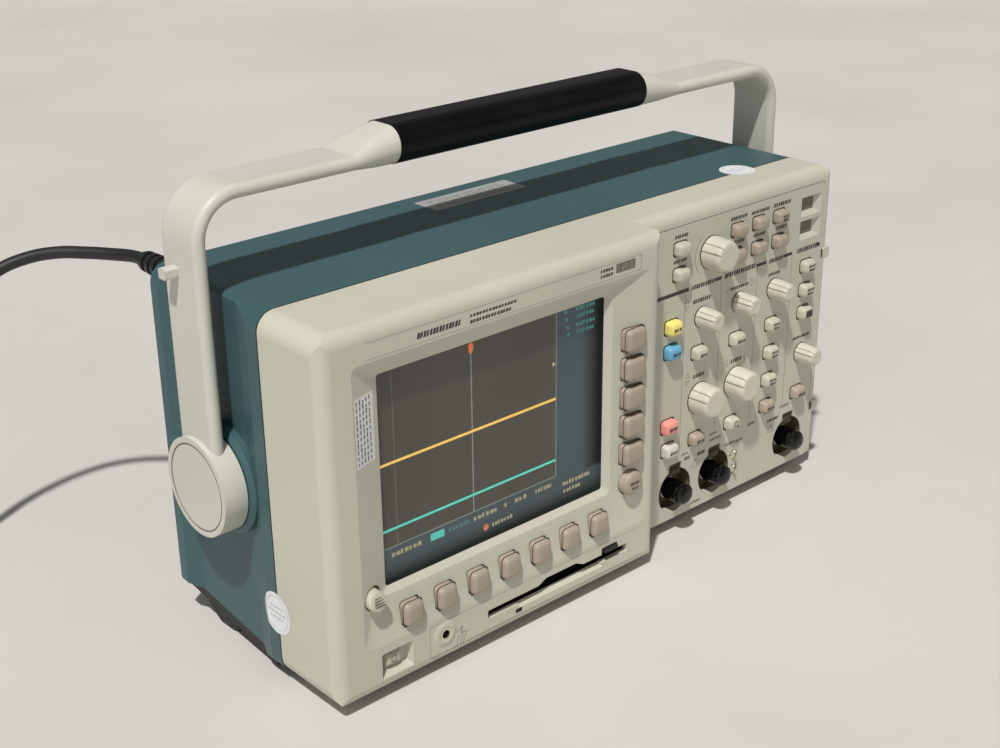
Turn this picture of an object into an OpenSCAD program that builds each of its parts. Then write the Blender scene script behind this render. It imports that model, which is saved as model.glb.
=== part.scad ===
// Portable bench oscilloscope with a swinging carrying handle, all sizes in millimetres.
// x runs from the left edge of the case, y to the rear from the display bezel's front plane and z up
// from the case's underside. place() moves it all so that the origin is under the middle, at the feet.

/* [Case] */
// Width of the case, side to side
case_w = 356; // [320:1:400]
// Height of the case without its feet
case_h = 174; // [160:1:200]
// Depth of the pale front casing
front_d = 42; // [36:1:50]
// Depth of the case to its rear panel
case_d = 126.7; // [120:0.1:180]
// Wall thickness of the mouldings
wall = 3; // [2:0.5:4]
// Radius of the case's long edges
corner_r = 9; // [4:0.5:12]
// Radius of the front edges
front_r = 6; // [3:0.5:8]
// Height of the case above the table
foot_h = 5.5; // [4:0.5:20]

/* [Display section] */
// Right edge of the display section, from the left of the case
display_w = 200.8; // [190:0.1:210]
// Depth from the display bezel to the control panel's face
panel_y = 16.9; // [8:0.1:24]
// Depth of the bezel's dished recess
dish_d = 5.7; // [3:0.1:8]
// How far the soft keys stand out in front of the bezel
softkey_out = 3; // [1:0.5:5]

/* [Control panel] */
// Thickness of the control panel
panel_t = 3; // [2:0.5:4]
// How far the keys stand out of the panel
key_out = 5; // [2:0.5:7]
// Travel of each key
key_travel = 1.2; // [0.8:0.1:2]
// Gap around each key
key_gap = 0.45; // [0.3:0.05:0.8]
// Radius of the large knobs
big_knob_r = 8.75; // [7:0.05:10]
// Radius of the small knobs
small_knob_r = 5.6; // [4:0.05:7]
// Height of the knobs
knob_h = 11.6; // [8:0.1:16]

/* [Handle] */
// Depth of the handle's flat strap, front to rear
strap_w = 28; // [20:1:34]
// Thickness of the strap
strap_t = 6.5; // [4:0.5:9]
// Height of the top strap's middle, upright
strap_z = 217.75; // [200:0.25:240]
// Radius of the hubs on which the handle swings
hub_r = 23.4; // [18:0.2:28]
// Thickness of the black grip
grip_t = 18.4; // [14:0.2:24]

/* [Cord] */
// Diameter of the mains cord
cord_d = 6.4; // [5:0.1:8]

/* [Hidden] */
$fn = 48;
hull_fn = 32;
fit = 0.05;
mid_y = 64;
pale = [0.84, 0.82, 0.77];
teal = [0.28, 0.44, 0.46];
black = [0.08, 0.08, 0.09];
tan = [0.70, 0.65, 0.60];
board_green = [0.1, 0.35, 0.2];
steel = [0.7, 0.7, 0.72];

// handle
pivot_y = 80;
pivot_z = 85.2;
hub_out = 13.3;
hub_in = 1.7;
strap_x = -7.8;
bend_r = 19.75;
bend_x = strap_x + bend_r;
bend_z = strap_z - bend_r;
swell_x = [73, 85, 98];
pin_r = 5;

// front panel layout, each place as [x, z]
softkey_x0 = 42.4;
softkey_pitch = 19.5;
softkey_z = 33.8;
sidekey_x = 182;
sidekey_z0 = 124.8;
sidekey_pitch = 15;
power_at = [32.25, 13.5];
jack_at = [60.6, 14.5];
drive_x = [85, 181.6];
drive_z = [6.6, 19.4];
slot_x = [87.4, 178.6];
slot_z = [10.9, 15.4];
eject_at = [167.5, 17.4];
plate_x = [201.3, 348.6];
plate_z = [2.4, 166.2];
tab_z = [32.6, 124.5];
window_z = [154.6, 141.5];
bnc_z = 19.3;
bnc_x = [234.4, 265.8, 329.3];
loop_x = 282.4;
loop_z = [15, 23.8];
small_key = [9.2, 7];
color_key = [9.5, 7.5];
yellow = [0.94, 0.88, 0.47];
blue = [0.51, 0.75, 0.92];
coral = [0.92, 0.46, 0.45];
white = [0.95, 0.95, 0.93];

// name, place, size and colour of every key on the control panel
KEYS = concat(
    [for (i = [0:5])
        [str("key_menu_", i + 1), [275.4 + 17 * (i % 3), 154.6 - 13.6 * floor(i / 3)], small_key, tan]],
    [
        ["key_select", [231.8, 154.4], small_key, pale],
        ["key_coarse", [231.7, 141], small_key, pale],
        ["key_channel_1", [227, 114], color_key, yellow],
        ["key_channel_2", [227, 100.7], color_key, blue],
        ["key_math", [226.5, 59.1], color_key, coral],
        ["key_reference", [227.4, 45.3], color_key, white],
        ["key_off", [248, 94.5], small_key, pale],
        ["key_vertical_menu", [248.5, 45.3], small_key, tan],
        ["key_delay", [278.1, 93.9], small_key, pale],
        ["key_zoom", [277.5, 45.4], small_key, pale],
        ["key_set_level", [307.7, 94.4], small_key, pale],
        ["key_force", [307.7, 78], small_key, pale],
        ["key_trigger_b", [307.5, 61.7], small_key, pale],
        ["key_trigger_menu", [307.2, 46.1], small_key, tan],
        ["key_run_stop", [335.6, 120.8], small_key, pale],
        ["key_single", [335.7, 107.2], small_key, pale],
        ["key_autoset", [335.8, 93.9], small_key, pale],
        ["key_acquire", [334.6, 46.2], small_key, tan],
    ]);

// name, place and radius of every knob
KNOBS = [
    ["knob_general", [255.9, 146.9], big_knob_r],
    ["knob_vertical_position", [250.4, 113.4], small_knob_r],
    ["knob_horizontal_position", [279.8, 114.1], small_knob_r],
    ["knob_trigger_level", [308.6, 114.3], small_knob_r],
    ["knob_intensity", [336.4, 69.5], small_knob_r],
    ["knob_vertical_scale", [250.9, 67.9], big_knob_r],
    ["knob_horizontal_scale", [279.9, 68.4], big_knob_r],
];
stem_r = 3;
board_y = 25;

// mains inlet and cord, with the coil on the table
inlet_at = [32, 153.4];
relief_y = [150, 190];
ROUTE = [
    [32, 190, 153.4], [31, 199, 153.2], [26.5, 210, 152.6], [18, 223, 152.3], [8, 235, 151.8],
    [-4, 245.5, 149], [-17, 252.5, 143.5], [-31, 256, 133.5], [-43, 257, 119], [-52, 257, 100],
    [-58, 256, 78], [-63, 255.5, 55], [-69, 255, 33], [-80, 255, 14], [-96, 255, 2.5],
    [-114, 255.1, -2.1], [-130, 255.2, -2.2],
];
coil_r = 37.2;
coil_half = 13.6;
coil_at = [-130, 302.8];
coil_h = 2 * cord_d;

// ---- building blocks ----

module place() translate([-case_w / 2, -mid_y, foot_h]) children();

// an outline drawn in x and z, made solid from y0 to y1
module slab_y(y0, y1) translate([0, y1, 0]) rotate([90, 0, 0]) linear_extrude(y1 - y0) children();

// an outline drawn in y and z, made solid from x0 to x1
module slab_x(x0, x1) translate([x0, 0, 0]) rotate([90, 0, 90]) linear_extrude(x1 - x0) children();

// an outline drawn in x and y, made solid from z0 to z1
module slab_z(z0, z1) translate([0, 0, z0]) linear_extrude(z1 - z0) children();

module round_rect(x0, x1, z0, z1, r) {
    translate([x0 + r, z0]) square([x1 - x0 - 2 * r, z1 - z0]);
    translate([x0, z0 + r]) square([x1 - x0, z1 - z0 - 2 * r]);
    for (x = [x0 + r, x1 - r], z = [z0 + r, z1 - r]) translate([x, z]) circle(r);
}

module centred_rect(at, size, r)
    round_rect(at.x - size.x / 2, at.x + size.x / 2, at.y - size.y / 2, at.y + size.y / 2, r);

module rod_y(at, y0, y1, r) translate([at.x, y0, at.y]) rotate([-90, 0, 0]) cylinder(h = y1 - y0, r = r);

module rod_x(x0, x1, y, z, r) translate([x0, y, z]) rotate([0, 90, 0]) cylinder(h = x1 - x0, r = r);

// a profile of radius and height, turned about a line that runs toward the rear from y0
module turned_y(at, y0) translate([at.x, y0, at.y]) rotate([-90, 0, 0]) rotate_extrude() children();

// the same thing on the left and, mirrored, on the right
module both_sides() for (s = [0, 1]) translate([s * case_w, 0, 0]) mirror([s, 0, 0]) children();

module case_outline(inset) round_rect(inset, case_w - inset, inset, case_h - inset, corner_r - inset);

// a cap with softened edges from y0, its face, back to y1
module keycap(at, size, y0, y1) hull() {
    $fn = hull_fn;
    slab_y(y0, y0 + 0.1) centred_rect(at, size - [2.4, 2.4], 1.6);
    slab_y(y0 + 0.5, y0 + 0.6) centred_rect(at, size - [1.2, 1.2], 1.6);
    slab_y(y1 - 0.1, y1) centred_rect(at, size, 1.6);
}

// a key: its cap, the straight part in the hole and the flange behind the wall
module key(at, size, face_y, hole_y, flange_y) {
    keycap(at, size, face_y, hole_y);
    slab_y(hole_y, flange_y) centred_rect(at, size, 1.6);
    slab_y(flange_y, flange_y + 1) centred_rect(at, size + [1.8, 1.8], 1.6);
}

module key_hole(at, size, y0, y1) slab_y(y0, y1)
    centred_rect(at, size + 2 * [key_gap, key_gap], 1.6 + key_gap);

// ---- front casing ----

dish = [
    [15.8, 193, 24, 158],
    [25.3, 170, 45.5, 152.7],
    [32.4, 166.4, 48.5, 148.8],
];
dish_mid = 3.3;
back_y = 8.2;
flange_y = 8.6;
menu_off_at = [182, 48.5];
print_at = [22.8, 48];
softkey = [10.4, 11.4];
sidekey = [13, 11.4];

module dish_rect(i, grow, r) {
    d = dish[i];
    round_rect(d[0] - grow, d[1] + grow, d[2] - grow, d[3] + grow, r);
}

// where a front cover clips on, beside the control panel
module cover_tab(z) slab_y(panel_y - 0.8, panel_y + 6) round_rect(350.4, 355.4, z - 3, z + 3, 1);

module cover_tab_cuts() {
    for (z = tab_z) slab_y(panel_y - 1, panel_y + 3) round_rect(349.1, 350.2, z - 1.8, z + 1.8, 0.3);
    slab_y(panel_y - 1, panel_y + 1.8) round_rect(352.9, 353.5, tab_z[1] + 5, 164, 0.25);
    slab_z(163.6, 164.2) translate([353, panel_y - 1]) square([4, 4.5]);
}

module front_outer() {
    for (z = tab_z) cover_tab(z);
    intersection() {
        slab_y(0, front_d) case_outline(0);
        slab_z(0, case_h) round_rect(0, display_w, 0, front_d + 20, front_r);
        slab_x(0, display_w) round_rect(0, front_d + 20, 0, case_h, front_r);
    }
    intersection() {
        slab_y(panel_y, front_d) case_outline(0);
        slab_z(0, case_h) round_rect(display_w - 20, case_w, panel_y, front_d + 20, front_r);
        slab_x(display_w - 8, case_w) round_rect(panel_y, front_d + 20, 0, case_h, front_r);
    }
    slab_y(front_d - 4, front_d + 4) case_outline(wall + 0.3);
}

module front_hollow() {
    difference() {
        union() {
            slab_y(wall, front_d - 4) round_rect(wall, display_w - wall, wall, case_h - wall, 5);
            slab_y(22.5, front_d - 4) round_rect(display_w - 12, case_w - wall, wall, case_h - wall, 5);
        }
        hull() {
            $fn = hull_fn;
            slab_y(wall - 1, wall) dish_rect(0, 3, 4);
            slab_y(back_y - 0.1, back_y) dish_rect(2, 6, 4);
        }
        slab_y(wall - 1, 6.5) round_rect(22, 44.5, 4, 21.8, 2);
    }
    slab_y(front_d - 5, front_d + 5) case_outline(wall + 2.3);
}

module dish_cut() {
    $fn = hull_fn;
    hull() {
        slab_y(-1, 0) dish_rect(0, 0, 4);
        slab_y(dish_mid - 0.01, dish_mid) dish_rect(1, 0, 3);
    }
    hull() {
        slab_y(dish_mid - 0.01, dish_mid) dish_rect(1, 0, 3);
        slab_y(dish_d - 0.01, dish_d) dish_rect(2, 0, 1.5);
    }
    slab_y(dish_d - 0.5, back_y + 1) dish_rect(2, 0, 1.5);
    slab_y(dish_d + 0.05, back_y + 1) dish_rect(2, 2.5, 2);
}

module floppy_cut() {
    // finger reliefs above and below the middle of the slot
    slab_y(-1, 4) polygon([[118, 15], [150, 15], [144, 17.8], [124, 17.8]]);
    slab_x(106, 162) polygon([[-1, 8.2], [0, 8.8], [3.9, 11], [3.9, 12], [-1, 12]]);
    slab_y(-1, 4) round_rect(slot_x[0] - 0.8, slot_x[1] + 1.4, slot_z[0], slot_z[1], 0.8);
    slab_y(-1, 4) round_rect(eject_at.x - 5.5, eject_at.x + 5.5, slot_z[1] - 2, 19, 0.8);
}

module front_casing() color(pale) difference() {
    front_outer();
    front_hollow();
    dish_cut();
    floppy_cut();
    for (i = [0:6]) key_hole([softkey_x0 + i * softkey_pitch, softkey_z], softkey, -1, back_y + 1);
    for (i = [0:4]) key_hole([sidekey_x, sidekey_z0 - i * sidekey_pitch], sidekey, -1, back_y + 1);
    rod_y(menu_off_at, -1, back_y + 1, 6.5 + key_gap);
    rod_y(print_at, -1, back_y + 1, 5.2 + key_gap);
    // power key's recess, with its sloping sill
    hull() {
        slab_y(-1, 0) round_rect(24.5, 42, 6.5, 19.3, 1);
        slab_y(3.9, 4) round_rect(25.5, 40, 9, 18.8, 1);
    }
    key_hole(power_at, [9.6, 7], 3, 8);
    rod_y(jack_at, -1, 4, 4.05);
    cover_tab_cuts();
    slab_y(-1, 4) round_rect(104, 108, 6.8, 8.4, 0.4);
    // seat and window for the control panel
    slab_y(panel_y - 8, panel_y + panel_t + 0.2)
        round_rect(plate_x[0], plate_x[1], plate_z[0], plate_z[1], 2);
    slab_y(panel_y, 24)
        round_rect(plate_x[0] + 1.4, plate_x[1] - 1.4, plate_z[0] + 1.4, plate_z[1] - 1.4, 2);
}

// ---- control panel ----

module well(at) difference() {
    rod_y(at, panel_y + panel_t - 0.1, 27, 14);
    rod_y(at, panel_y, 25.6, 12.5);
    rod_y(at, 20, 30, 6.2);
}

// a shallow window whose right and lower walls slope
module window_recess(z) intersection() {
    slab_z(z - 5.4, z + 5.4)
        polygon([
            [328.6, panel_y - 1], [347.6, panel_y - 1], [346, panel_y],
            [341.2, panel_y + 2], [328.6, panel_y + 2],
        ]);
    slab_x(328, 348)
        polygon([[panel_y - 1, z - 6.4], [panel_y, z - 5.2], [panel_y + 2, z - 2.6], [panel_y + 2, z + 6],
            [panel_y - 1, z + 6]]);
}

module control_panel() color(pale) {
    for (x = bnc_x) well([x, bnc_z]);
    difference() {
        slab_y(panel_y, panel_y + panel_t)
            round_rect(plate_x[0] + 0.4, plate_x[1] - 0.4, plate_z[0] + 0.4, plate_z[1] - 0.4, 1.6);
        for (k = KEYS) key_hole(k[1], k[2], panel_y - 1, panel_y + 4);
        for (k = KNOBS) rod_y(k[1], panel_y - 1, panel_y + 4, stem_r + 0.6);
        for (x = bnc_x) {
            rod_y([x, bnc_z], panel_y - 1, panel_y + 4, 12.5);
            slab_y(panel_y - 1, panel_y + 1.2) round_rect(x - 5, x + 5, bnc_z + 8, 35, 1);
        }
        for (z = window_z) window_recess(z);
        for (z = loop_z) rod_y([loop_x, z], panel_y - 1, panel_y + 4, 3.4);
    }
}

// ---- rear case ----

// the underside rises toward the rear, as [y, z] of the lower edge
lower_edge = [[front_d + 0.6, -1], [53, -1], [63, 4.5], [case_d, 14]];

module side_profile() polygon(concat(lower_edge, [[case_d, case_h], [front_d + 0.6, case_h]]));

// the shallow recess in each side, wider than the handle's swing
module side_recess() slab_z(-5, case_h + 5)
    polygon([[-5, 50.5], [0, 50.5], [4, 63], [4, 113], [0, 121], [-5, 121]]);

module handle_boss() translate([-1.2, pivot_y, pivot_z]) rotate([0, 90, 0])
    rotate_extrude() polygon([[0, 0], [24.6, 0], [26.5, 1.9], [26.5, 9], [0, 9]]);

module rear_hollow() {
    slab_y(front_d, 53) case_outline(wall);
    slab_y(front_d + 6, case_d - wall) round_rect(wall + 4.5, case_w - wall - 4.5, -10, case_h - wall, 5);
}

module vents(x0, x1, z0, rows) for (i = [0:rows - 1])
    slab_y(case_d - 5, case_d + 1) round_rect(x0, x1, z0 + i * 7, z0 + i * 7 + 3, 1.4);

module rear_case() color(teal) difference() {
    union() {
        difference() {
            intersection() {
                slab_y(front_d + 0.6, case_d) round_rect(0, case_w, -1, case_h, corner_r);
                slab_x(0, case_w) side_profile();
            }
            both_sides() side_recess();
            rear_hollow();
            // the bottom stays open behind the collar for the tray
            slab_y(53, case_d - wall) square([case_w, 1]);
        }
        both_sides() handle_boss();
    }
    both_sides() rod_x(-5, 12, pivot_y, pivot_z, 6.2);
    slab_y(case_d - 5, case_d + 5) centred_rect(inlet_at, [27.4, 20.4], 2);
    vents(200, 330, 96, 8);
    vents(70, 180, 40, 6);
    // cover of the plug-in module bay and the label's seat
    slab_y(case_d - 0.8, case_d + 1) difference() {
        round_rect(198, 332, 30, 82, 3);
        round_rect(199.5, 330.5, 31.5, 80.5, 2);
    }
    slab_y(case_d - 0.5, case_d + 1) round_rect(70, 140, 100, 132, 2);
}

module base_tray() color(black) difference() {
    slab_x(4.5, case_w - 4.5)
        polygon([
            [53.3, -3], [63, -0.7], [case_d - 0.5, 8.7],
            [case_d - 0.5, 13.7], [63, 4.2], [53.3, -1.2],
        ]);
    slab_x(8, case_w - 8)
        polygon([[64, 1.3], [case_d - 4, 10.05], [case_d - 4, 20], [64, 20]]);
    for (i = [0:11]) slab_z(-5, 20) round_rect(120 + i * 10, 124 + i * 10, 78, 112, 1.9);
}

// ---- display ----

module display_window() color([0.35, 0.34, 0.32])
    slab_y(dish_d + 0.1, 7.9) dish_rect(2, 2.2, 1.8);

module lcd_module() {
    color(steel) difference() {
        slab_y(8.3, 18) round_rect(31, 171, 44, 153.5, 2);
        slab_y(8, 9.4) dish_rect(2, -0.8, 1);
    }
    color(board_green) slab_y(18.1, 19.7) round_rect(36, 166, 50, 148, 1);
    for (x = [50, 96, 142]) color(black) slab_y(19.8, 22.5) centred_rect([x, 100], [18, 26], 1);
}

// ---- boards inside ----

module dome_y(at, y, r) color(white) turned_y(at, y)
    polygon([[0, 0], [r - 1, 0], [r, 1.2], [0, 1.2]]);

module encoder(k) color(black) difference() {
    slab_y(board_y - 3, board_y) centred_rect(k[1], [11.8, 11.8], 1);
    rod_y(k[1], board_y - 4, board_y + 0.2, stem_r + fit);
}

module panel_board() {
    color(board_green) difference() {
        slab_y(board_y, board_y + 1.6) round_rect(212, 342, 36, 161, 1);
        for (k = KNOBS) rod_y(k[1], board_y - 1, board_y + 3, stem_r + 1);
    }
    for (k = KEYS) dome_y(k[1], board_y - 1.2, 3);
    for (k = KNOBS) encoder(k);
}

bezel_board_y = 12.2;

module bezel_boards() {
    color(board_green) slab_y(bezel_board_y, bezel_board_y + 1.6) {
        round_rect(174, 192, 40, 134, 1);
        round_rect(14, 192, 27, 42.5, 1);
        round_rect(14, 30, 27, 57, 1);
    }
    for (i = [0:6]) dome_y([softkey_x0 + i * softkey_pitch, softkey_z], bezel_board_y - 1.2, 4);
    for (i = [0:4]) dome_y([sidekey_x, sidekey_z0 - i * sidekey_pitch], bezel_board_y - 1.2, 4);
    for (at = [menu_off_at, print_at]) dome_y(at, bezel_board_y - 1.2, 4);
}

module power_switch_board() {
    color(board_green) slab_y(12.2, 13.8) round_rect(20, 70, 6, 22, 1);
    dome_y(power_at, 11, 3);
}

module keypad_boards() {
    panel_board();
    bezel_boards();
    power_switch_board();
}

module main_board() {
    color(board_green) slab_y(52, 53.6) round_rect(60, 342, 24, 92, 2);
    color(steel) for (x = [215, 285]) slab_y(54, 64) round_rect(x, x + 50, 32, 78, 1);
    color(black) for (i = [0:3]) slab_y(53.7, 56.5) centred_rect([85 + i * 32, 60], [22, 22], 1);
    color(steel) for (i = [0:9]) rod_y([72 + i * 12, 84], 53.7, 60, 2.6);
}

module power_supply() {
    color(board_green) slab_y(94, 95.6) round_rect(20, 170, 92, 142, 1);
    color(steel) difference() {
        slab_y(62, 93.8) round_rect(18, 172, 90, 144, 2);
        slab_y(61, 92) round_rect(19.5, 170.5, 91.5, 142.5, 1);
    }
    color([0.55, 0.4, 0.2]) slab_y(68, 90) centred_rect([60, 116], [34, 30], 2);
    color(black) for (i = [0:3]) rod_y([96 + i * 18, 108], 66, 90, 7);
}

module floppy_drive() color(black) difference() {
    slab_y(6.5, 95) round_rect(drive_x[0], drive_x[1], drive_z[0], drive_z[1], 1);
    slab_y(6, 92) translate([slot_x[0], slot_z[0]]) square([slot_x[1] - slot_x[0], slot_z[1] - slot_z[0]]);
    slab_y(6, 16) centred_rect(eject_at, [10.4, 2.9], 0.3);
}

module floppy_eject() color(black) {
    slab_y(-1.4, 11) centred_rect(eject_at, [9.4, 2.1], 0.4);
}

// ---- connectors ----

module bnc_connector(x) {
    difference() {
        turned_y([x, bnc_z], 9) polygon([[0, 0], [4.8, 0], [4.8, 12], [6.1, 12.5], [6.1, 24.5], [0, 24.5]]);
        turned_y([x, bnc_z], 8.9) polygon([[1, 0], [4.1, 0], [4.1, 8], [1, 8]]);
    }
    translate([x, 12, bnc_z]) rotate([0, 90, 0]) cylinder(h = 10.4, r = 0.95, center = true);
    turned_y([x, bnc_z], 27.1) polygon([[6.1, 0], [9, 0], [9, 2.6], [6.1, 2.6]]);
    slab_y(33.5, 51.8) centred_rect([x, bnc_z + 12], [15, 36], 2);
}

// soft dust caps with a rounded end, pushed over the connectors
module bnc_caps() color(black) for (x = bnc_x) turned_y([x, bnc_z], 7)
    polygon([
        [0, 0], [2.4, 0.2], [3.9, 0.7], [5, 1.6], [5.7, 2.8], [6, 4.2], [6.05, 13.6],
        [5.3, 13.6], [5.3, 3], [4.9, 1.9], [0, 1.9],
    ]);

module front_terminals() color(steel) {
    for (x = bnc_x) bnc_connector(x);
    difference() {
        union() {
            rod_y(jack_at, -0.6, 0, 5.2);
            rod_y(jack_at, 0, 9, 4);
        }
        rod_y(jack_at, -1, 8, 2.05);
    }
    for (z = loop_z) {
        rod_y([loop_x, z], panel_y + 0.6, panel_y + panel_t - 0.2, 3.3);
        rod_y([loop_x, z], panel_y + panel_t - 0.3, panel_y + panel_t + 3, 1.2);
        translate([loop_x, panel_y + 0.7, z]) rotate([0, 90, 0]) rotate([0, 0, 180])
            rotate_extrude(angle = 180) translate([2.4, 0]) circle(0.65);
    }
}

module power_inlet() {
    color(black) difference() {
        union() {
            slab_y(100, case_d + 0.1) centred_rect(inlet_at, [27, 20], 2);
            slab_y(case_d + 0.1, case_d + 1.6) centred_rect(inlet_at, [31, 24], 2);
        }
        slab_y(112, case_d + 3) centred_rect(inlet_at, [24.6, 16.2], 3);
    }
    color(steel) for (p = [[-7, -1.5], [0, 2.5], [7, -1.5]])
        slab_y(111.9, 126) centred_rect(inlet_at + p, [2, 4], 0.4);
}

module rubber_feet() color(black) both_sides() {
    // flat foot under the front casing
    hull() {
        slab_z(-foot_h, 1 - foot_h) round_rect(22, 46, 27, 38, 4, $fn = hull_fn);
        slab_z(-0.1, 0) round_rect(20, 48, 24.5, 40.5, 6, $fn = hull_fn);
    }
    // rounded foot under the tray's rear corner
    intersection() {
        hull() {
            slab_z(-foot_h, 0.5 - foot_h) round_rect(8, 22, 93, 109, 3, $fn = hull_fn);
            slab_z(9, 10) round_rect(5.2, 30, 78, 122, 5, $fn = hull_fn);
        }
        slab_x(0, 40) polygon([[60, -1.3], [126, 8.5], [126, -9], [60, -9]]);
    }
    // bumpers that the case stands on when it lies on its back
    for (z = [30, 100]) turned_y([20, z], case_d) polygon([[0, 0], [8, 0], [6, 4.3], [0, 4.3]]);
}

module screws() color(steel) both_sides() {
    for (z = [48, 128]) turned_y([12, z], case_d) polygon([[0, 0], [3.4, 0], [2.8, 2], [0, 2]]);
    difference() {
        rod_y([58, 160], case_d, case_d + 2, 3.2);
        slab_y(case_d + 1.2, case_d + 3) centred_rect([58, 160], [5, 0.9], 0.2);
    }
}

// ---- handle ----

module handle_pivots() color(steel) both_sides() {
    rod_x(-9.8, 14, pivot_y, pivot_z, pin_r - fit);
    rod_x(-11, -9.8, pivot_y, pivot_z, 8);
    rod_x(8.1, 12, pivot_y, pivot_z, 16);
}

module strap_outline(x0, x1, y0, y1) round_rect(x0, x1, y0, y1, strap_t / 2 - 0.05);

module handle_side() {
    front = pivot_y - strap_w / 2;
    rear = pivot_y + strap_w / 2;
    rod_x(-hub_out, -hub_in, pivot_y, pivot_z, hub_r);
    slab_z(pivot_z, bend_z) strap_outline(strap_x - strap_t / 2, strap_x + strap_t / 2, front, rear);
    translate([bend_x, 0, bend_z]) rotate([90, 0, 0]) rotate([0, 0, 90]) rotate_extrude(angle = 90)
        strap_outline(bend_r - strap_t / 2, bend_r + strap_t / 2, -rear, -front);
    slab_x(bend_x, swell_x[0]) strap_outline(front, rear, strap_z - strap_t / 2, strap_z + strap_t / 2);
    hull() {
        $fn = hull_fn;
        slab_x(swell_x[0] - 0.1, swell_x[0])
            strap_outline(front, rear, strap_z - strap_t / 2, strap_z + strap_t / 2);
        slab_x(swell_x[1], swell_x[1] + 0.1) round_rect(front, rear, strap_z - 5, strap_z + 8.3, 6.6);
    }
    hull() {
        $fn = hull_fn;
        slab_x(swell_x[1], swell_x[1] + 0.1) round_rect(front, rear, strap_z - 5, strap_z + 8.3, 6.6);
        slab_x(swell_x[2] - 0.1, swell_x[2])
            round_rect(front + 0.4, rear - 0.4, strap_z - 6, strap_z + 11.8, 8.8);
    }
    // stop peg on the arm's outer face
    slab_x(-17.6, -10) round_rect(pivot_y + 0.5, pivot_y + 6, 182.5, 187.2, 1);
}

module handle_frame() color(pale) difference() {
    union() {
        both_sides() handle_side();
        slab_x(swell_x[2] - 1, case_w - swell_x[2] + 1)
            round_rect(pivot_y - 11, pivot_y + 11, strap_z - 3, strap_z + 8, 3);
    }
    both_sides() {
        rod_x(-hub_out - 1, -11.8, pivot_y, pivot_z, 20.4);
        rod_x(-12, -9.5, pivot_y, pivot_z, 8.6);
        rod_x(-11, 0, pivot_y, pivot_z, pin_r);
    }
}

module handle_grip() color(black) difference() {
    slab_x(swell_x[2] + 0.1, case_w - swell_x[2] - 0.1)
        round_rect(pivot_y - 14, pivot_y + 14, strap_z - 6.2, strap_z - 6.2 + grip_t, grip_t / 2 - 0.1);
    slab_x(swell_x[2] - 1, case_w - swell_x[2] + 1)
        round_rect(pivot_y - 11.1, pivot_y + 11.1, strap_z - 3.1, strap_z + 8.1, 3.1);
}

module hub_caps() color(pale) both_sides() rod_x(-hub_out + 0.15, -11.85, pivot_y, pivot_z, 20.3);

// ---- knobs and keys ----

module knob(k) {
    face_y = panel_y - 0.4 - knob_h;
    edge = 1.1;
    color(pale) difference() {
        turned_y(k[1], face_y) {
            polygon([[0, 0], [k[2] - edge - 0.5, 0], [k[2] - 0.5, edge], [k[2], knob_h], [0, knob_h]]);
            translate([k[2] - edge - 0.5, edge]) circle(edge);
        }
        // pointer groove down the rim and across the face
        slab_y(face_y - 1, face_y + 9) centred_rect(k[1] + [0, k[2]], [0.9, 1.4], 0.2);
    }
    color(steel) rod_y(k[1], panel_y - 0.5, board_y + 1.4, stem_r);
}

module panel_key(k) color(k[3])
    key(k[1], k[2], panel_y - key_out, panel_y - 0.6, panel_y + panel_t + 0.3);

module softkey_at(at, size) color(tan) key(at, size, -softkey_out, 0.6, flange_y);

module bottom_softkeys() for (i = [0:6])
    softkey_at([softkey_x0 + i * softkey_pitch, softkey_z], softkey);

module side_softkeys() for (i = [0:4])
    softkey_at([sidekey_x, sidekey_z0 - i * sidekey_pitch], sidekey);

module round_key(at, r, face_y) turned_y(at, face_y) {
    polygon([[0, 0], [r - 1.6, 0], [r - 0.9, 0.7], [r, 4], [r, flange_y - face_y], [0, flange_y - face_y]]);
    translate([0, flange_y - face_y - 0.01]) square([r + 0.9, 1]);
}

module key_menu_off() color(tan) round_key(menu_off_at, 6.5, -softkey_out);

module key_print() color(white) difference() {
    round_key(print_at, 5.2, -softkey_out);
    // the face slopes away toward the top
    translate([print_at.x, -softkey_out - 0.2, print_at.y + 1.2]) rotate([-20, 0, 0])
        translate([-8, -3, 0]) cube([16, 3, 8]);
}

module key_power() color(pale) key(power_at, [9.6, 7], 1.4, 3.6, 6.9);

// ---- mains cord ----

module cord_connector() color(black) {
    difference() {
        slab_y(112.6, case_d + 1.7) centred_rect(inlet_at, [23.8, 15.4], 2.8);
        for (p = [[-7, -1.5], [0, 2.5], [7, -1.5]])
            slab_y(112, case_d) centred_rect(inlet_at + p, [2.6, 4.6], 0.6);
    }
    hull() {
        $fn = hull_fn;
        slab_y(case_d + 1.7, case_d + 2) centred_rect(inlet_at, [27.4, 19.6], 4);
        slab_y(146, 146.1) centred_rect(inlet_at, [24, 18.4], 6);
        slab_y(relief_y[0], relief_y[0] + 0.1) centred_rect(inlet_at, [15, 13.4], 6);
    }
    turned_y(inlet_at, relief_y[0]) polygon([[0, 0], [6.2, 0], [4.2, relief_y[1] - relief_y[0]],
        [0, relief_y[1] - relief_y[0]]]);
    for (y = [154:6:184]) turned_y(inlet_at, y) polygon([[0, 0], [7 - (y - 150) * 0.05, 0],
        [7 - (y - 150) * 0.05, 2.6], [0, 2.6]]);
}

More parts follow.
